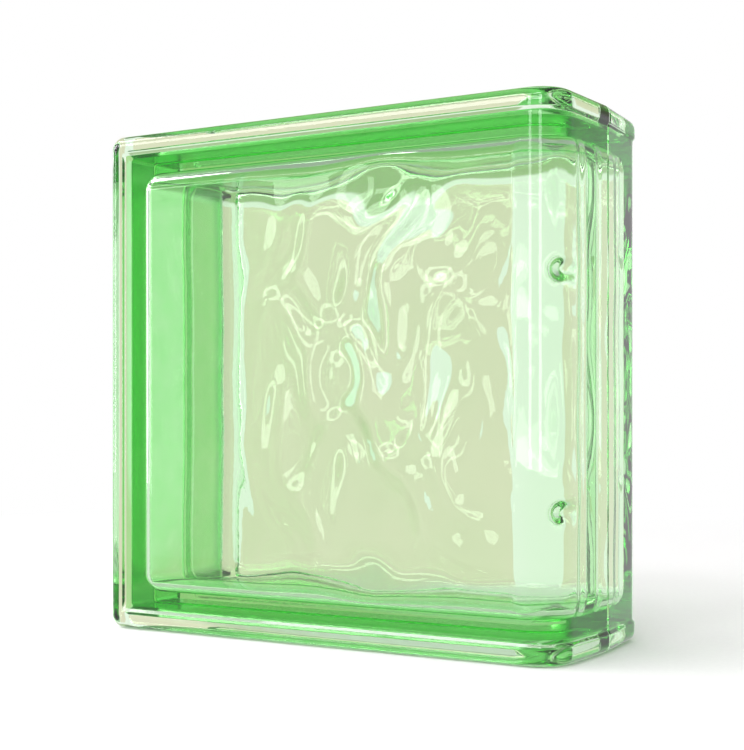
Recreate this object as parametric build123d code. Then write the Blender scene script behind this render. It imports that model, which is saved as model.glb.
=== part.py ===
"""Hollow pressed-glass building block with one finished, rounded end.

Two dish-shaped halves are pressed in the same mould, turned face to face and fused round their lips
into a single sealed piece of glass. X runs from the jointed side to the finished end, Y from the front
face to the back face and Z up. The origin is at the middle of the underside, on the fused seam.
"""

import os
from math import exp, hypot, radians, sin, tau

from build123d import *

# Overall size of the block
block_width = 190.0
block_height = 190.0
block_thickness = 80.0

# Raised rim that frames each face and runs on round the finished end
rim_width = 8.0
rim_rise = 0.8
rim_bevel = 1.2
rim_edge_radius = 4.0
rim_corner_radius = 5.5

# Finished end: rounded towards each face, and fullest at the seam
end_radius = 13.0
end_draft = 2.5
end_wall = 8.0

# Inner side of the finished end: from a crease the plate rises to a shoulder, then thins to a waist
crease_inset = 21.0
shoulder_inset = 13.5
shoulder_rise = 3.8
shoulder_radius = 12.0
waist_inset = 9.2
waist_rise = 15.0
waist_radius = 24.0
end_lean = 3.0

# Mortar channel sunk between the two faces on the jointed side, the top and the underside
flange_depth = 11.0
side_channel_depth = 4.5
bed_channel_depth = 7.5
channel_shoulder = 4.0
channel_corner_radius = 3.0
channel_stop = 12.0

# Sealed cavity inside
side_wall = 7.0
bed_wall = 6.0
cavity_corner_radius = 9.0
cavity_draft_angle = 3.0
cove_radius = 6.0

# Face plate, with waves pressed into its inner side: their crests lean away from mid height both ways
face_thickness = 9.0
wave_height = 1.7
wave_length = 58.0
wave_fold = 14.0
wave_clearance = 0.8
# Each wave: share of wave_height, share of wave_length, heading and phase in degrees
wave_shares = [
    (0.44, 1.00, -37.0, 70.0),
    (0.20, 0.76, 62.0, 200.0),
    (0.24, 0.47, -37.0, 20.0),
    (0.12, 0.38, 50.0, 250.0),
]
wave_steps = 48
wave_sheet_degree = 3

# Strip beside the jointed side where the waves lie lower, and how far they take to rise from it
calm_width = 50.0
calm_slope_width = 50.0
calm_share = 0.12

# Round knobs that stand among the waves, one near each bed
knob_height = 1.8
knob_radius = 13.0
upper_knob_along = 125.0
upper_knob_down = 27.0
lower_knob_along = 118.0
lower_knob_up = 23.0

# Fine groove left where the two lips were fused
seam_groove_width = 1.2
seam_groove_depth = 0.7

# How far a cutting shape reaches past what it cuts, and how near an edge counts as on a face
overrun = 3.0
on_face_tolerance = 0.4

half_width = block_width / 2
half_thickness = block_thickness / 2
face_y = -half_thickness
mid_height = block_height / 2


def plan_face(inset):
    """Plan of the front half, from the seam to the face, drawn in by an inset all round."""
    jointed_x = -half_width + inset
    end_face_x = half_width - end_draft - inset
    end_seam_x = half_width - inset
    corners = [
        (jointed_x, 0),
        (jointed_x, face_y + inset),
        (end_face_x, face_y + inset),
        (end_seam_x, 0),
    ]
    plan = make_face(Polyline(*corners, close=True))
    end_corner = plan.vertices().sort_by(Axis((0, 0, 0), (1, -1, 0)))[-1]
    return fillet(end_corner, end_radius - inset)


def bed_rim():
    """Raised rim along the underside: it follows the plan and bevels down to the sunk panel."""
    flat_height = rim_width - rim_bevel
    flat = extrude(plan_face(0), flat_height)
    bevel_foot = Pos(0, 0, flat_height) * plan_face(0)
    bevel_head = Pos(0, 0, rim_width) * plan_face(rim_rise)
    return flat + loft([bevel_foot, bevel_head], ruled=True)


def jointed_rim():
    """Raised rim down the jointed side, with the same bevel to the panel."""
    inner_x = -half_width + rim_width
    section = make_face(
        Polyline(
            (-half_width, 0),
            (-half_width, face_y),
            (inner_x - rim_bevel, face_y),
            (inner_x, face_y + rim_rise),
            (inner_x, 0),
            close=True,
        )
    )
    return extrude(section, block_height)


def on_rim_edge(edge):
    """True for the outer edges of the rim: round the face, and along the finished end to the seam."""
    middle = edge @ 0.5
    on_bed = middle.Z < on_face_tolerance or middle.Z > block_height - on_face_tolerance
    on_face = middle.Y < face_y + on_face_tolerance
    on_end = middle.X > half_width - end_draft - end_radius
    on_side = middle.X < -half_width + rim_corner_radius
    return (on_bed and (on_face or on_end) and middle.Y < -on_face_tolerance) or (on_side and on_face)


def pressed_blank():
    """Outside of the front half before the mortar channel: panel, rims and rounded edges."""
    panel = extrude(plan_face(rim_rise), block_height)
    lower_rim = bed_rim()
    upper_rim = mirror(lower_rim, about=Plane.XY.offset(mid_height))
    blank = panel + lower_rim + upper_rim + jointed_rim()
    side_corners = blank.edges().filter_by(Axis.Y).group_by(Axis.X)[0]
    blank = fillet(side_corners, rim_corner_radius)
    return fillet(blank.edges().filter_by(on_rim_edge), rim_edge_radius)


def channel_core(side_inset, bed_inset, y):
    """Outline of what stays between the channels, at one depth, running on past the finished end."""
    left_x = -half_width + side_inset
    right_x = half_width + overrun
    corner = channel_corner_radius + side_channel_depth - side_inset
    outline = Rectangle(right_x - left_x, block_height - 2 * bed_inset)
    outline = fillet(outline.vertices().group_by(Axis.X)[0], corner)
    return Plane.XZ.offset(-y) * Pos((left_x + right_x) / 2, mid_height) * outline


def mortar_channel():
    """Channel cut out of the front half on three sides, with a sloping shoulder behind the face."""
    shoulder_y = face_y + flange_depth
    floor_y = shoulder_y + channel_shoulder
    stop_x = half_width - channel_stop
    band = Pos(stop_x, shoulder_y, -overrun) * Box(
        block_width + overrun,
        -shoulder_y,
        block_height + 2 * overrun,
        align=(Align.MAX, Align.MIN, Align.MIN),
    )
    kept = extrude(channel_core(side_channel_depth, bed_channel_depth, 0), -floor_y)
    shoulder_foot = channel_core(side_channel_depth, bed_channel_depth, floor_y)
    shoulder = loft([channel_core(0, 0, shoulder_y), shoulder_foot], ruled=True)
    return band - kept - shoulder


def seam_rectangle(left_x, right_x, low_z, high_z):
    """Rectangle on the seam plane between the given limits."""
    middle = Pos((left_x + right_x) / 2, (low_z + high_z) / 2)
    return Plane.XZ * middle * Rectangle(right_x - left_x, high_z - low_z)


def seam_groove():
    """Thin ring taken off the half's outside where its lip meets the other half."""
    floor_z = bed_channel_depth + seam_groove_depth
    end_panel_x = half_width - rim_rise - seam_groove_depth
    kept = seam_rectangle(
        -half_width + side_channel_depth + seam_groove_depth,
        end_panel_x,
        floor_z,
        block_height - floor_z,
    )
    end_rim = seam_rectangle(
        half_width - channel_stop + seam_groove_depth,
        half_width - seam_groove_depth,
        seam_groove_depth,
        rim_width - rim_bevel / 2,
    )
    rim_corner = end_rim.vertices().sort_by(Axis((0, 0, 0), (1, 0, -1)))[-1]
    end_rim = fillet(rim_corner, rim_edge_radius - seam_groove_depth)
    end_web = seam_rectangle(
        half_width - channel_stop + seam_groove_depth,
        end_panel_x,
        rim_width / 2,
        floor_z + overrun,
    )
    end_foot = end_rim + end_web
    kept = kept + end_foot + mirror(end_foot, about=Plane.XY.offset(mid_height))
    around = seam_rectangle(
        -half_width - overrun,
        half_width + overrun,
        -overrun,
        block_height + overrun,
    )
    return extrude(around - kept, seam_groove_width / 2)


def eased(share):
    """Smooth step from zero to one."""
    share = min(1, max(0, share))
    return share * share * (3 - 2 * share)


def knob(along, up):
    """One round knob, by the distances from its middle."""
    return knob_height * exp(-((hypot(along, up) / knob_radius) ** 2))


def wave(along, up):
    """Height of the pressed waves and knobs above the plate's mean level."""
    folded = hypot(up - mid_height, wave_fold)
    total = 0
    for height_share, length_share, heading, phase in wave_shares:
        direction = Vector(1, 0, 0).rotate(Axis.Z, heading)
        travel = (along * direction.X + folded * direction.Y) / (wave_length * length_share)
        total += height_share * sin(tau * travel + radians(phase))
    rise = eased((along - calm_width) / calm_slope_width)
    strength = calm_share + (1 - calm_share) * rise
    upper = knob(along - upper_knob_along, up - (block_height - upper_knob_down))
    lower = knob(along - lower_knob_along, up - lower_knob_up)
    return wave_height * total * strength + upper + lower


def wave_sheet():
    """Inner skin of the face plate, with its waves and knobs standing into the cavity."""
    rows = []
    for i in range(wave_steps + 1):
        along = block_width * i / wave_steps
        row = []
        for j in range(wave_steps + 1):
            up = block_height * j / wave_steps
            row.append(Vector(along - half_width, face_y + face_thickness + wave(along, up), up))
        rows.append(row)
    return Face.make_surface_from_array_of_points(rows, min_deg=wave_sheet_degree)


def end_room():
    """Room left by the inner side of the finished end: a sloping shoulder, then a waist to the seam."""
    plate_y = face_y + face_thickness
    shoulder_slope = shoulder_rise / (crease_inset - shoulder_inset)
    foot_x = half_width - crease_inset - face_thickness / shoulder_slope
    corners = [
        (-half_width, face_y),
        (foot_x, face_y),
        (half_width - shoulder_inset, plate_y + shoulder_rise),
        (half_width - waist_inset, plate_y + waist_rise),
        (half_width - end_wall + end_lean, overrun),
        (-half_width, overrun),
    ]
    room = make_face(Polyline(*corners, close=True))
    shoulder = room.vertices().sort_by(Axis.X)[-3]
    room = fillet(shoulder, shoulder_radius)
    waist = room.vertices().sort_by(Axis.X)[-2]
    return extrude(fillet(waist, waist_radius), block_height)


def cavity():
    """Hollow of the front half: drafted walls and coves, the end's inner side and the wave sheet."""
    left_x = -half_width + side_channel_depth + side_wall
    right_x = half_width - end_wall
    mouth = Rectangle(right_x - left_x, block_height - 2 * (bed_channel_depth + bed_wall))
    mouth = fillet(mouth.vertices(), cavity_corner_radius)
    mouth = Plane.XZ * Pos((left_x + right_x) / 2, mid_height) * mouth
    depth = half_thickness - face_thickness + wave_height + wave_clearance
    hollow = extrude(mouth, depth, taper=cavity_draft_angle)
    hollow = fillet(hollow.faces().sort_by(Axis.Y)[0].edges(), cove_radius)
    plate = extrude(wave_sheet(), block_thickness, dir=(0, -1, 0))
    return (hollow & end_room()) - plate


def front_half():
    """One pressed dish, with its lip on the seam plane."""
    half = pressed_blank() - mortar_channel()
    return half - seam_groove() - cavity()


def glass_block():
    """The two dishes, one turned over behind the other, fused into one sealed piece."""
    front = front_half()
    turn = Axis((0, 0, mid_height), (1, 0, 0))
    return front + front.rotate(turn, 180)


os.makedirs("parts", exist_ok=True)
block = glass_block()
export_step(block, "parts/glass_block.step")
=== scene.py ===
from math import atan, cos, pi, radians, sin, tau

import bmesh
import bpy
import numpy as np
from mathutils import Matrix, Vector


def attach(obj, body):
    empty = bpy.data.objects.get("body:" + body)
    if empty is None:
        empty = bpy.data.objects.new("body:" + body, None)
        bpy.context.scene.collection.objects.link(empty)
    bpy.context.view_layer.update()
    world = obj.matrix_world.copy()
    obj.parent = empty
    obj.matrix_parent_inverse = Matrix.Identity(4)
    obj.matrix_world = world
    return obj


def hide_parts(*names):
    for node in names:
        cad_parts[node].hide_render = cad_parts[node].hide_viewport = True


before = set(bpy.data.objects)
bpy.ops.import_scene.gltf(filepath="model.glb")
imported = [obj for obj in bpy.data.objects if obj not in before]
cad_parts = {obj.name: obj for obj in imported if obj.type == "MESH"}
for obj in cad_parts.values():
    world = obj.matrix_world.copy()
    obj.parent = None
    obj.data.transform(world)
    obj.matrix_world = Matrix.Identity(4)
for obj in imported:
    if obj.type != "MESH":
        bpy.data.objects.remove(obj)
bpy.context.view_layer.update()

# Glass block
# One sealed hollow piece: two dishes pressed in the same mould, turned face to face and fused round their
# lips. The glass is tinted light green through its thickness, and the floor of the mortar channel on three
# sides carries a translucent green coat, brushed on at the works. The block stands loose on its underside.
mm = 0.001
width, height, thickness = 190.0, 190.0, 80.0
half_width, half_thick, mid_height = width / 2, thickness / 2, height / 2

# Outside of one dish: sunk panel, raised rim, flange, channel and seam groove
rim_width, rim_rise, rim_bevel, rim_edge, rim_corner = 8.0, 0.8, 1.2, 4.0, 5.5
panel_lap = 2.0
end_radius, end_draft = 13.0, 2.5
end_slope = end_draft / half_thick
end_tilt = atan(end_slope)
flange, bed_back, bed_back_lean, shoulder = 11.0, 4.5, 0.2, 4.0
side_back, side_back_lean = 2.0, 1.4
side_channel, bed_channel, channel_stop, channel_end = 4.5, 7.5, 12.0, 9.0
channel_end_slope, channel_corner = 0.3, 1.5
groove_width, groove_depth = 0.6, 0.7
groove_near = 1.5 * groove_width
groove_room_share = 0.9
smallest_arc = 1.0
panel_foot_round, bevel_round, lip_round, back_round, floor_round, groove_round = 1.2, 1.0, 0.8, 0.4, 1.0, 0.2
end_steps, end_arc_steps, face_steps, side_steps, corner_steps = 14, 14, 60, 60, 9
edge_steps, soft_steps = 9, 4
groove_shares = np.array([0, 0.4, 0.68])


def rounded(corners, arc_steps):
    """Points of a line through (x, y, radius) corners, with all but its two ends rounded."""
    points = [np.array(corners[0][:2], float)]
    for before, here, after in zip(corners, corners[1:], corners[2:]):
        corner, r = np.array(here[:2], float), here[2]
        back = np.array(before[:2], float) - corner
        ahead = np.array(after[:2], float) - corner
        back, ahead = back / np.linalg.norm(back), ahead / np.linalg.norm(ahead)
        half = np.arccos(np.clip(back @ ahead, -1, 1)) / 2
        start, end = corner + back * r / np.tan(half), corner + ahead * r / np.tan(half)
        centre = corner + (back + ahead) / np.linalg.norm(back + ahead) * r / np.sin(half)
        first = np.arctan2(*(start - centre)[::-1])
        turn = (np.arctan2(*(end - centre)[::-1]) - first + pi) % tau - pi
        for share in np.linspace(0, 1, arc_steps(r)):
            angle = first + turn * share
            points.append(centre + r * np.array([cos(angle), sin(angle)]))
    points.append(np.array(corners[-1][:2], float))
    return np.array(points)


def plan(front_inset, end_inset, groove_inset, front_x):
    """Plan at one level: the finished end from the seam, its round corner, then the face up to front_x."""
    r = end_radius - front_inset
    if front_inset >= flange:
        r = channel_end * min(1, (front_inset - flange) / bed_back_lean)
    r = min(max(r, smallest_arc), (half_thick - front_inset) / 2)
    centre_y = -half_thick + front_inset + r
    centre_x = half_width + end_slope * centre_y - (end_inset + r) / cos(end_tilt)
    arc_y = centre_y - r * sin(end_tilt)
    near = min(groove_near, -groove_room_share * arc_y)
    ys = np.r_[-near * groove_shares, np.linspace(-near, arc_y, end_steps)]
    inset = np.full(len(ys), end_inset, float)
    inset[:2] += groove_inset
    end = np.c_[half_width + end_slope * ys - inset / cos(end_tilt), ys]
    angles = np.linspace(-end_tilt, -pi / 2, end_arc_steps)[1:]
    arc = np.c_[centre_x + r * np.cos(angles), centre_y + r * np.sin(angles)]
    xs = np.linspace(centre_x, front_x, face_steps)[1:]
    face = np.c_[xs, np.full(len(xs), -half_thick + front_inset)]
    return np.vstack([end, arc, face])


def end_inset_at(face_inset):
    """How far a line so far in from the face lies in from the finished end."""
    if face_inset <= flange:
        return face_inset
    if face_inset <= flange + shoulder:
        return flange + (face_inset - flange) * (channel_stop - flange) / shoulder
    return channel_stop + channel_end_slope * (face_inset - flange - shoulder)


def rim_path(side, bed):
    """One line of the outside from seam to seam: its insets from edge and face, at the side and the beds."""
    (side_in, side_y), (bed_in, bed_y) = side, bed
    ease = channel_corner if bed_y > flange - lip_round else 0
    reach_x = max(rim_corner, side_in + ease)
    reach_z = max(rim_corner, bed_in + ease)
    groove = groove_depth if bed_y < flange else 0
    flat = plan(bed_y, end_inset_at(bed_y), groove, -half_width + reach_x)
    upper = np.c_[flat, np.full(len(flat), height - bed_in)]
    turn = np.linspace(0, pi / 2, corner_steps)
    corner = np.c_[
        -half_width + reach_x - (reach_x - side_in) * np.sin(turn),
        -half_thick + bed_y + (side_y - bed_y) * turn / (pi / 2),
        height - reach_z + (reach_z - bed_in) * np.cos(turn),
    ]
    zs = np.linspace(height - reach_z, reach_z, side_steps)
    down = np.c_[np.full(side_steps, -half_width + side_in), np.full(side_steps, -half_thick + side_y), zs]
    first = np.vstack([upper, corner[1:-1]])
    return np.vstack([first, down, first[::-1] * [1, 1, -1] + [0, 0, height]])


def rim_section(channel, back_in, back_lean):
    """Section of the rim, the flange and the channel down to the seam, as insets from edge and face."""
    corners = [
        (rim_width + panel_lap, rim_rise, 0),
        (rim_width, rim_rise, panel_foot_round),
        (rim_width - rim_bevel, 0, bevel_round),
        (0, 0, rim_edge),
        (0, flange, lip_round),
        (back_in, flange + back_lean, back_round),
        (channel, flange + shoulder, floor_round),
        (channel, half_thick - groove_width, groove_round),
        (channel + groove_depth, half_thick - groove_width / 2, groove_round),
        (channel + groove_depth, half_thick, 0),
    ]
    return rounded(corners, lambda r: edge_steps if r == rim_edge else soft_steps)


def turned(verts):
    """The same pressing turned over behind the seam: half a turn about X."""
    return verts * [1, -1, -1] + [0, 0, height]


def add_grid(skin, grid, coat_of_row=None):
    """Adds a grid of points to a skin, with its twin in the back half and the coat that each row carries."""
    rows, cols = grid.shape[:2]
    verts = grid.reshape(-1, 3)
    if coat_of_row is None:
        coat_of_row = np.zeros(rows - 1)
    for part in (verts, turned(verts)):
        base = sum(len(p) for p in skin["points"])
        i = np.arange((rows - 1) * cols).reshape(rows - 1, cols)[:, :-1].ravel() + base
        skin["points"].append(part)
        skin["quads"].append(np.c_[i, i + 1, i + cols + 1, i + cols])
        skin["coat"].append(np.repeat(coat_of_row, cols - 1))


weld_gap, flat_gap = 0.004 * mm, 0.002 * mm


def closed_skin(skin, inward):
    """Welds a skin's grids into one closed mesh whose faces look out of the glass."""
    mesh = bpy.data.meshes.new("skin")
    mesh.from_pydata((np.vstack(skin["points"]) * mm).tolist(), [], np.vstack(skin["quads"]).tolist())
    coated = mesh.attributes.new("coated", "FLOAT", "FACE")
    coated.data.foreach_set("value", np.concatenate(skin["coat"]).astype(np.float32))
    work = bmesh.new()
    work.from_mesh(mesh)
    bmesh.ops.remove_doubles(work, verts=work.verts, dist=weld_gap)
    bmesh.ops.dissolve_degenerate(work, edges=work.edges, dist=flat_gap)
    bmesh.ops.recalc_face_normals(work, faces=work.faces)
    if inward:
        bmesh.ops.reverse_faces(work, faces=work.faces)
    work.to_mesh(mesh)
    work.free()
    return mesh


side_section = rim_section(side_channel, side_back, side_back_lean)
bed_section = rim_section(bed_channel, bed_back, bed_back_lean)
# The coat starts on the shoulder and is thickest at the seam
row_depth = (bed_section[1:, 1] + bed_section[:-1, 1]) / 2
coat_edge, coat_seam = 0.6, 8.0
floor_depth = flange + shoulder
coat_depths = [flange + bed_back_lean, flange + coat_edge, floor_depth, half_thick - coat_seam, half_thick]
coat_shares = [0, 0.5, 0.7, 0.8, 1]
outside = {"points": [], "quads": [], "coat": []}
lines = [rim_path(side, bed) for side, bed in zip(side_section, bed_section)]
add_grid(outside, np.array(lines), np.interp(row_depth, coat_depths, coat_shares))
panel_line = plan(rim_rise, rim_rise, groove_depth, -half_width + rim_width + panel_lap)
panel = np.empty((side_steps, len(panel_line), 3))
panel[:, :, :2] = panel_line
panel[:, :, 2] = np.linspace(height - rim_width - panel_lap, rim_width + panel_lap, side_steps)[:, None]
add_grid(outside, panel)
outer = closed_skin(outside, inward=False)

# Waves pressed into the inner side of each plate: broad swells that lean away from mid height both ways,
# streaks along them that cross into a net of cells at mid height. Each has its height, length, heading and
# phase. The knobs have their place along and up, radius and height: one near each bed, two small at the end.
fold = 14.0
swells = [(0.75, 58.0, -37.0, 70.0), (0.34, 44.0, 62.0, 200.0)]
streaks = [(0.42, 19.0, -30.0, 20.0), (0.14, 31.0, -24.0, 130.0)]
crossings = [(0.46, 17.0, 48.0, 250.0), (0.28, 21.0, 80.0, 40.0)]
# Slow drifts bend the streaks and crossings: size, length along, length up and phase
drifts = [(3.5, 71.0, 53.0, 0.0), (2.5, 37.0, -61.0, 1.0)]
knobs = [
    (117.0, 164.0, 12.0, 1.9),
    (112.0, 22.0, 12.0, 1.8),
    (183.0, 131.0, 3.2, 2.8),
    (183.0, 50.0, 3.2, 2.8),
]
calm_width, calm_slope, calm_share = 50.0, 50.0, 0.12
fine_start, fine_slope = 56.0, 26.0
end_start, end_calm_slope, end_calm_share = 140.0, 22.0, 0.1
bed_margin, bed_slope = 24.0, 24.0
net_reach, net_edge_power = 37.0, 4


def smooth(x):
    """Smooth step from zero to one."""
    x = np.clip(x, 0, 1)
    return x * x * (3 - 2 * x)


def wave(along, up):
    """Height of the waves and knobs above the plate's mean level."""
    folded = np.sqrt((up - mid_height) ** 2 + fold**2)
    ends = 1 - (1 - end_calm_share) * smooth((along - end_start) / end_calm_slope)
    calm = (calm_share + (1 - calm_share) * smooth((along - calm_width) / calm_slope)) * ends
    edge = smooth((np.minimum(up, height - up) - bed_margin) / bed_slope)
    fine = smooth((along - fine_start) / fine_slope) * ends * edge
    middle = np.exp(-(((up - mid_height) / net_reach) ** net_edge_power))
    drift = sum(size * np.sin(tau * (along / x + up / z) + phase) for size, x, z, phase in drifts)
    total = 0
    for waves, strength, wander in ((swells, calm, 0), (streaks, fine, 1), (crossings, fine * middle, -1)):
        for size, length, heading, phase in waves:
            travel = along * cos(radians(heading)) + folded * sin(radians(heading)) + wander * drift
            total = total + strength * size * np.sin(tau * travel / length + radians(phase))
    for x, z, radius, size in knobs:
        total = total + size * np.exp(-((along - x) ** 2 + (up - z) ** 2) / radius**2)
    return total


# Hollow of one dish: drafted walls with a bead at the fused seam, coves, and the ribbed finished end
side_wall, bed_wall, plate = 7.0, 6.0, 9.0
draft_slope, side_cove, bed_cove = 0.0262, 5.0, 7.0
bead, bead_flat, bead_width, bead_fine = 0.9, 0.6, 2.0, 3.0
bead_top_round, bead_foot_round = 0.5, 0.8
plate_lap, crease_inset = 40.0, 21.0
depth = half_thick - plate
stations, bead_stations, wall_arc_steps, run_steps, bend_steps = 48, 8, 40, 104, 12
wave_rise, cove_share = 22.0, 1.4
# The finished end's inner side sways from top to bottom: size, length and phase
sways = [(0.6, 73.0, 0.6), (0.35, 41.0, 2.0)]
# Inner side of the finished end, from the seam: insets from the outside, depths and corner radii
end_corners = [
    (11.6, 0, 0),
    (11.6, -0.7, 0.4),
    (10.2, -2.4, 0.8),
    (8.7, -12.6, 2.0),
    (10.4, -14.7, 0.6),
    (10.4, -16.2, 0.6),
    (9.3, -18.0, 1.5),
    (13.5, -27.2, 10.0),
    (crease_inset, -depth, 2.5),
    (crease_inset + plate_lap, -depth, 0),
]


def wall_stations(corners):
    """Points of a wall's section, close together on the bead, and how far each is from the plate."""
    line = rounded(corners, lambda r: wall_arc_steps)[:-1]
    steps = np.r_[0, np.cumsum(np.linalg.norm(np.diff(line, axis=0), axis=1))]
    on_bead = np.linspace(0, bead_fine, bead_stations + 1)[:-1]
    at = np.r_[on_bead, np.linspace(bead_fine, steps[-1], stations - bead_stations)]
    return np.c_[np.interp(at, steps, line[:, 0]), np.interp(at, steps, line[:, 1])], steps[-1] - at


def plain_wall(inset, cove):
    """Corners of a plain wall's section from the seam to the plate."""
    return [
        (inset + bead, 0, 0),
        (inset + bead, -bead_flat, bead_top_round),
        (inset, -bead_width, bead_foot_round),
        (inset + draft_slope * depth, -depth, cove),
        (inset + plate_lap, -depth, 0),
    ]


side_line = wall_stations(plain_wall(side_channel + side_wall, side_cove))[0]
bed_line, bed_left = wall_stations(plain_wall(bed_channel + bed_wall, bed_cove))
end_line, end_left = wall_stations(end_corners)
end_way = np.gradient(end_line, axis=0)
end_way /= np.linalg.norm(end_way, axis=1)[:, None]
end_way[-1] = (1, 0)
plate_left, plate_right, plate_low = side_line[-1][0], end_line[-1][0], bed_line[-1][0]


def ring(k):
    """One closed line round the hollow, from the seam for the first to the edge of the plate for the last."""
    (bed_in, bed_y), (side_in, side_y), (end_in, end_y) = bed_line[k], side_line[k], end_line[k]
    r = max(plate_low - bed_in, 0)
    left, right, top, low = -half_width + side_in, half_width - end_in, height - bed_in, bed_in
    run = np.linspace(0, 1, run_steps)
    bend = np.linspace(0, 1, bend_steps)[1:-1]
    s, c = r * np.sin(bend * pi / 2), r * np.cos(bend * pi / 2)
    level, none, no_bend = np.ones_like(run), 0 * run, 0 * bend
    stretches = [
        # x, z, share of the finished end's section, share of the jointed side's
        (left + r + run * (right - left - 2 * r), top * level, none, none),
        (right - r + s, top - r + c, smooth(bend), no_bend),
        (right * level, top - r + run * (low - top + 2 * r), level, none),
        (right - r + c, low + r - s, smooth(1 - bend), no_bend),
        (right - r + run * (left - right + 2 * r), low * level, none, none),
        (left + r - s, low + r - c, no_bend, smooth(bend)),
        (left * level, low + r + run * (top - low - 2 * r), none, level),
        (left + r - c, top - r + s, no_bend, smooth(1 - bend)),
    ]
    x, z, at_end, at_side = (np.concatenate(column) for column in zip(*stretches))
    y = bed_y + (end_y - bed_y) * at_end + (side_y - bed_y) * at_side
    wall_weight = smooth(1 - bed_left[k] / (bed_cove * cove_share))
    end_weight = min(1, (end_left[0] - end_left[k]) / wave_rise)
    along = (x + half_width) * (1 - at_end) + at_end * (width - plate_right + end_left[k])
    lift = wave(along, z) * (wall_weight * (1 - at_end) + end_weight * at_end)
    sway = sum(size * np.sin(tau * z / length + phase) for size, length, phase in sways)
    x = x - at_end * sway * sin(pi * end_left[k] / end_left[0]) ** 2
    x = x - lift * at_end * abs(end_way[k][1])
    y = y + lift * ((1 - at_end) + at_end * abs(end_way[k][0]))
    loop = np.c_[x, y, z]
    return np.vstack([loop, loop[:1]])


hollow = {"points": [], "quads": [], "coat": []}
add_grid(hollow, np.array([ring(k) for k in range(stations)]))
plate_x = np.linspace(-half_width + plate_left, half_width - plate_right, run_steps)
plate_z = np.linspace(plate_low, height - plate_low, run_steps)
xx, zz = np.meshgrid(plate_x, plate_z, indexing="ij")
add_grid(hollow, np.dstack([xx, -depth + wave(xx + half_width, zz), zz]))
inner = closed_skin(hollow, inward=True)

joined = bmesh.new()
joined.from_mesh(outer)
joined.from_mesh(inner)
body_mesh = bpy.data.meshes.new("glass_body")
joined.to_mesh(body_mesh)
joined.free()
body_mesh.polygons.foreach_set("use_smooth", np.ones(len(body_mesh.polygons), bool))
glass_body = bpy.data.objects.new("glass_body", body_mesh)
bpy.context.collection.objects.link(glass_body)

# Unevenness shared by the glass and the paper: a cloudy value spread between two limits
cloud_detail, cloud_low, cloud_high = 4.0, 0.3, 0.7
uneven = bpy.data.node_groups.new("uneven", "ShaderNodeTree")
for name in ("Scale", "Low", "High"):
    uneven.interface.new_socket(name, in_out="INPUT", socket_type="NodeSocketFloat")
uneven.interface.new_socket("Value", in_out="OUTPUT", socket_type="NodeSocketFloat")
group_in = uneven.nodes.new("NodeGroupInput")
group_out = uneven.nodes.new("NodeGroupOutput")
group_place = uneven.nodes.new("ShaderNodeTexCoord")
cloud = uneven.nodes.new("ShaderNodeTexNoise")
cloud.inputs["Detail"].default_value = cloud_detail
spread = uneven.nodes.new("ShaderNodeMapRange")
spread.inputs["From Min"].default_value = cloud_low
spread.inputs["From Max"].default_value = cloud_high
uneven.links.new(group_place.outputs["Object"], cloud.inputs["Vector"])
uneven.links.new(group_in.outputs["Scale"], cloud.inputs["Scale"])
uneven.links.new(cloud.outputs["Fac"], spread.inputs["Value"])
uneven.links.new(group_in.outputs["Low"], spread.inputs["To Min"])
uneven.links.new(group_in.outputs["High"], spread.inputs["To Max"])
uneven.links.new(spread.outputs["Result"], group_out.inputs["Value"])


def add_uneven(tree, scale, low, high):
    """An uneven value between low and high, with patches of about one over scale metres."""
    node = tree.nodes.new("ShaderNodeGroup")
    node.node_tree = uneven
    for name, number in (("Scale", scale), ("Low", low), ("High", high)):
        node.inputs[name].default_value = number
    return node.outputs["Value"]


def feed(tree, socket, value):
    """Links a socket to another one, or sets it to a value."""
    if isinstance(value, bpy.types.NodeSocket):
        tree.links.new(value, socket)
    else:
        socket.default_value = value


def combine(tree, operation, first, second):
    """A sum, product or the like of two sockets or numbers."""
    node = tree.nodes.new("ShaderNodeMath")
    node.operation = operation
    feed(tree, node.inputs[0], first)
    feed(tree, node.inputs[1], second)
    return node.outputs[0]


def mixed(tree, factor, first, second, blend="MIX"):
    """A mix of two colours; the factor and the colours are sockets or values."""
    node = tree.nodes.new("ShaderNodeMix")
    node.data_type = "RGBA"
    node.blend_type = blend
    for number, value in ((0, factor), (6, first), (7, second)):
        feed(tree, node.inputs[number], value)
    return node.outputs[2]


def rippled(tree, strength, distance, scale):
    """A normal that ripples with an uneven height."""
    node = tree.nodes.new("ShaderNodeBump")
    node.inputs["Strength"].default_value = strength
    node.inputs["Distance"].default_value = distance
    tree.links.new(add_uneven(tree, scale, 0.0, 1.0), node.inputs["Height"])
    return node.outputs["Normal"]


glass_ior, coat_ior = 1.52, 1.04
melt_tones = (0.96, 1.0, 0.95, 1), (0.98, 1.0, 0.97, 1)
tint_tone, tint_density = (0.34, 0.84, 0.26, 1), 21.0
coat_tone, coat_thinnest, coat_roughness, glass_roughness = (0.28, 0.93, 0.24, 1), 0.86, 0.3, 0.012
coat_patches, melt_patches, polish_patches, ripple_patches = 90.0, 25.0, 60.0, 90.0
ripple_strength, ripple_height = 0.15, 0.0001
glass = bpy.data.materials.new("block_glass")
glass.use_nodes = True
glass_tree = glass.node_tree
bsdf = glass_tree.nodes["Principled BSDF"]
bsdf.inputs["IOR"].default_value = glass_ior
bsdf.inputs["Transmission Weight"].default_value = 1.0
bsdf.inputs["Coat Tint"].default_value = coat_tone
bsdf.inputs["Coat IOR"].default_value = coat_ior
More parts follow.
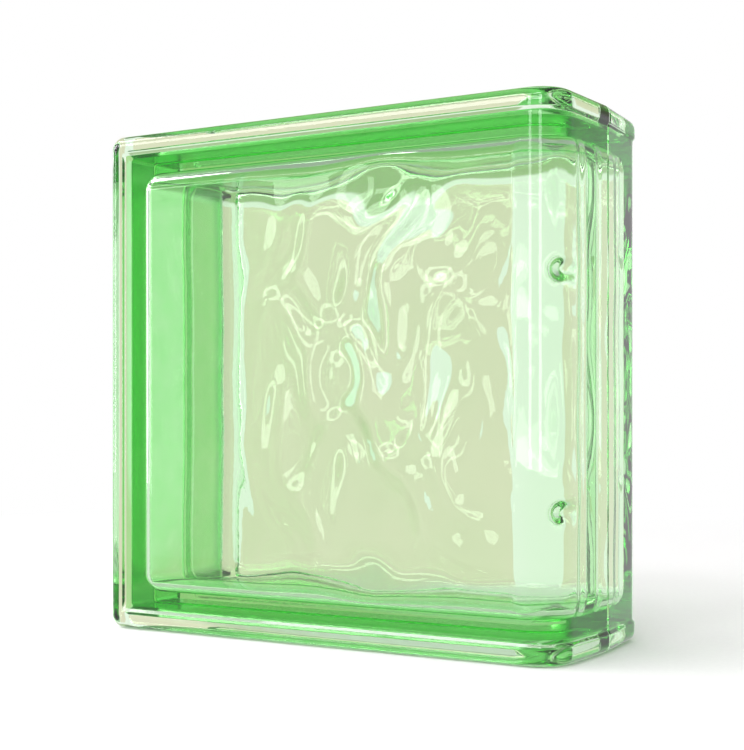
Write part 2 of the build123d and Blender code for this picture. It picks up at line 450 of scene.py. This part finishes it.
# Coat brushed on unevenly, and matt where it lies
coated = glass_tree.nodes.new("ShaderNodeAttribute")
coated.attribute_name = "coated"
brushed = add_uneven(glass_tree, coat_patches, coat_thinnest, 1.0)
coat_weight = combine(glass_tree, "MULTIPLY", coated.outputs["Fac"], brushed)
glass_tree.links.new(coat_weight, bsdf.inputs["Coat Weight"])
matt = glass_tree.nodes.new("ShaderNodeMapRange")
glass_tree.links.new(coated.outputs["Fac"], matt.inputs["Value"])
glass_tree.links.new(add_uneven(glass_tree, polish_patches, 0.0, glass_roughness), matt.inputs["To Min"])
matt.inputs["To Max"].default_value = coat_roughness
glass_tree.links.new(matt.outputs["Result"], bsdf.inputs["Roughness"])
# Melt of slightly uneven colour, with the faint ripple of pressed glass
melt = mixed(glass_tree, add_uneven(glass_tree, melt_patches, 0.0, 1.0), *melt_tones)
glass_tree.links.new(melt, bsdf.inputs["Base Color"])
ripple = rippled(glass_tree, ripple_strength, ripple_height, ripple_patches)
glass_tree.links.new(ripple, bsdf.inputs["Normal"])
tint = glass_tree.nodes.new("ShaderNodeVolumeAbsorption")
tint.inputs["Color"].default_value = tint_tone
tint.inputs["Density"].default_value = tint_density
glass_tree.links.new(tint.outputs["Volume"], glass_tree.nodes["Material Output"].inputs["Volume"])
body_mesh.materials.append(glass)
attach(glass_body, "root")
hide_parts("glass_block")

# Floor and backdrop
# One sheet of white studio paper: a level floor that curves up behind into a tall wall, which has a painted
# pale green glow above the camera's view. A cream card is painted on it behind the block, which hides it from
# the camera, and gives the clear middle of the glass its warm tone.
sweep_front, sweep_back, sweep_top, sweep_half, sweep_r, sweep_turn = -3.0, 1.6, 2.6, 3.0, 0.4, 30
sweep_drop, sweep_bend_steps = 0.0002, 24
bend_foot = sweep_back - sweep_r
profile = [(sweep_front, 0.0), (bend_foot, 0.0)]
for angle in np.linspace(0, pi / 2, sweep_bend_steps)[1:]:
    profile.append((bend_foot + sweep_r * sin(angle), sweep_r - sweep_r * cos(angle)))
profile.append((sweep_back, sweep_top))
sweep_mesh = bpy.data.meshes.new("sweep")
sweep_points = [(side * sweep_half, y, z - sweep_drop) for y, z in profile for side in (-1, 1)]
sweep_faces = [(2 * i, 2 * i + 1, 2 * i + 3, 2 * i + 2) for i in range(len(profile) - 1)]
sweep_mesh.from_pydata(sweep_points, [], sweep_faces)
sweep_mesh.polygons.foreach_set("use_smooth", np.ones(len(sweep_mesh.polygons), bool))
sweep = bpy.data.objects.new("sweep", sweep_mesh)
bpy.context.collection.objects.link(sweep)
sweep.rotation_euler = (0, 0, radians(sweep_turn))

paper_tone, lit_tone = (0.96, 0.95, 0.93, 1), (1.0, 1.0, 1.0, 1)
# The upper tone is painted light: a pale green glow of the upper wall, whose paper is white under the lamps
card_tone, upper_painted_glow_tone = (0.86, 0.77, 0.63, 1), (0.42, 0.54, 0.30, 1)
paper_roughness, grain_patches, grain_darkest = 0.9, 500.0, 0.97
fibre_strength, fibre_height, fibre_patches = 0.1, 0.0002, 900.0
# The card's soft edges are slopes from the camera's place, and its front edge is a distance behind the block
eye_back, eye_height = 0.54, 0.083
card_right, card_left, card_top, card_front = (0.146, 0.153), (0.177, 0.183), (0.188, 0.196), (0.02, 0.08)
painted_glow_heights = (0.75, 0.95)
# The sheet keeps the block's shadow up to here, and rays in the glass see it darker close to the block
shadow_end, dark_end, dark_share = (0.2, 0.7), (0.07, 0.15), 0.55
paper = bpy.data.materials.new("paper")
paper.use_nodes = True
paper_tree = paper.node_tree
sheet = paper_tree.nodes["Principled BSDF"]
sheet.inputs["Roughness"].default_value = paper_roughness


def below(value, limits):
    """One below the first limit, falling smoothly to nothing at the second."""
    node = paper_tree.nodes.new("ShaderNodeMapRange")
    node.interpolation_type = "SMOOTHSTEP"
    paper_tree.links.new(value, node.inputs["Value"])
    for name, number in zip(("From Min", "From Max", "To Min", "To Max"), (*limits, 1, 0)):
        node.inputs[name].default_value = number
    return node.outputs[0]


def beyond(value, limits):
    """Nothing below the first limit, rising smoothly to one at the second."""
    return combine(paper_tree, "SUBTRACT", 1, below(value, limits))


def product(first, *others):
    """The product of several sockets or numbers."""
    for other in others:
        first = combine(paper_tree, "MULTIPLY", first, other)
    return first


place = paper_tree.nodes.new("ShaderNodeTexCoord")
axes = paper_tree.nodes.new("ShaderNodeSeparateXYZ")
paper_tree.links.new(place.outputs["Object"], axes.inputs[0])
from_eye = combine(paper_tree, "ADD", axes.outputs["Y"], eye_back)
to_right = combine(paper_tree, "DIVIDE", axes.outputs["X"], from_eye)
above_eye = combine(paper_tree, "SUBTRACT", axes.outputs["Z"], eye_height)
upward = combine(paper_tree, "DIVIDE", above_eye, from_eye)
card = product(
    below(to_right, card_right),
    below(upward, card_top),
    below(product(to_right, -1), card_left),
    beyond(axes.outputs["Y"], card_front),
)
grain = add_uneven(paper_tree, grain_patches, grain_darkest, 1.0)
tone = mixed(paper_tree, 1.0, mixed(paper_tree, card, paper_tone, card_tone), grain, "MULTIPLY")
paper_tree.links.new(tone, sheet.inputs["Base Color"])
fibre = rippled(paper_tree, fibre_strength, fibre_height, fibre_patches)
paper_tree.links.new(fibre, sheet.inputs["Normal"])
# Even light of its own, seen by the camera away from the block and by rays in the glass
glow = paper_tree.nodes.new("ShaderNodeEmission")
lower_tone = mixed(paper_tree, card, lit_tone, card_tone)
# Painted light: above these heights the wall glows pale green, and the glass shows it as green
glow_tone = mixed(paper_tree, below(axes.outputs["Z"], painted_glow_heights), upper_painted_glow_tone, lower_tone)
paper_tree.links.new(glow_tone, glow.inputs["Color"])
ray = paper_tree.nodes.new("ShaderNodeLightPath")
distance = paper_tree.nodes.new("ShaderNodeVectorMath")
distance.operation = "LENGTH"
paper_tree.links.new(place.outputs["Object"], distance.inputs[0])
from_block = distance.outputs["Value"]
seen_directly = product(ray.outputs["Is Camera Ray"], beyond(from_block, shadow_end))
in_glass = combine(paper_tree, "MAXIMUM", ray.outputs["Is Glossy Ray"], ray.outputs["Is Transmission Ray"])
seen_in_glass = product(in_glass, combine(paper_tree, "MAXIMUM", dark_share, beyond(from_block, dark_end)))
lit = paper_tree.nodes.new("ShaderNodeMixShader")
paper_tree.links.new(combine(paper_tree, "MAXIMUM", seen_directly, seen_in_glass), lit.inputs[0])
paper_tree.links.new(sheet.outputs[0], lit.inputs[1])
paper_tree.links.new(glow.outputs[0], lit.inputs[2])
paper_tree.links.new(lit.outputs[0], paper_tree.nodes["Material Output"].inputs["Surface"])
sweep_mesh.materials.append(paper)

# Light
# Soft boxes stand upright and lie level in front of the block and to its left, like the bars of a window,
# and the wavy inner faces mirror them as the bright lines of a net. A pale sky, dimmer overhead, fills in.
sky_tone, sky_heights, sky_strengths = (0.97, 0.98, 1.0, 1), (0.3, 0.6), (0.9, 0.5)
world = bpy.data.worlds.new("studio")
bpy.context.scene.world = world
world.use_nodes = True
sky_tree = world.node_tree
sky = sky_tree.nodes["Background"]
sky.inputs["Color"].default_value = sky_tone
sky_place = sky_tree.nodes.new("ShaderNodeTexCoord")
sky_axes = sky_tree.nodes.new("ShaderNodeSeparateXYZ")
sky_tree.links.new(sky_place.outputs["Generated"], sky_axes.inputs[0])
dimming = sky_tree.nodes.new("ShaderNodeMapRange")
sky_tree.links.new(sky_axes.outputs["Z"], dimming.inputs["Value"])
for name, number in zip(("From Min", "From Max", "To Min", "To Max"), (*sky_heights, *sky_strengths)):
    dimming.inputs[name].default_value = number
sky_tree.links.new(dimming.outputs[0], sky.inputs["Strength"])

lamp_tone, lamp_distance, lamp_width, level_aim = (0.97, 0.96, 1.0), 1.6, 0.24, 0.1
upright_turns, upright_aim, upright_length, upright_power = (-28, 3, 57, 88), 0.6, 1.2, 4.6
level_turns, level_rises, level_length, level_power = (-12, 30, 72), (20.5, 42.5), 1.1, 4.4


def softbox(name, turn, rise, aim_height, size, power):
    """A soft box turned left of the block's front and raised, in degrees, that faces a point on its axis."""
    lamp = bpy.data.lights.new(name, "AREA")
    lamp.shape = "RECTANGLE"
    lamp.size, lamp.size_y = size
    lamp.energy = power
    lamp.color = lamp_tone
    box = bpy.data.objects.new(name, lamp)
    bpy.context.collection.objects.link(box)
    box.visible_camera = False
    out, up = lamp_distance * cos(radians(rise)), lamp_distance * sin(radians(rise))
    box_place = Vector((-out * sin(radians(turn)), -out * cos(radians(turn)), aim_height + up))
    box.location = box_place
    box.rotation_euler = (Vector((0, 0, aim_height)) - box_place).to_track_quat("-Z", "Y").to_euler()


for turn in upright_turns:
    softbox(f"upright_{turn}", turn, 0, upright_aim, (lamp_width, upright_length), upright_power)
for rise in level_rises:
    level_size = (level_length * cos(radians(rise)), lamp_width)
    for turn in level_turns:
        softbox(f"level_{rise}_{turn}", turn, rise, level_aim, level_size, level_power)

# Camera
# Its place, focal length and horizon were fitted to the block's outline, the last two in pixels. Light is
# followed through many turns, because the block's walls pass it on from face to face.
picture_size, focal_pixels, horizon_row, sensor_width = 750, 1421.1, 413.0, 36
camera_place, camera_turn = (0.2705, -0.4647, 0.0831), 30.21
camera = bpy.data.cameras.new("camera")
camera.lens = focal_pixels * sensor_width / picture_size
camera.shift_y = (horizon_row - picture_size / 2) / picture_size
view = bpy.data.objects.new("camera", camera)
bpy.context.collection.objects.link(view)
view.location = camera_place
view.rotation_euler = (pi / 2, 0, radians(camera_turn))
scene = bpy.context.scene
scene.camera = view
scene.view_settings.view_transform = "Standard"
scene.cycles.max_bounces = 32
scene.cycles.transmission_bounces = 28
scene.cycles.glossy_bounces = 8
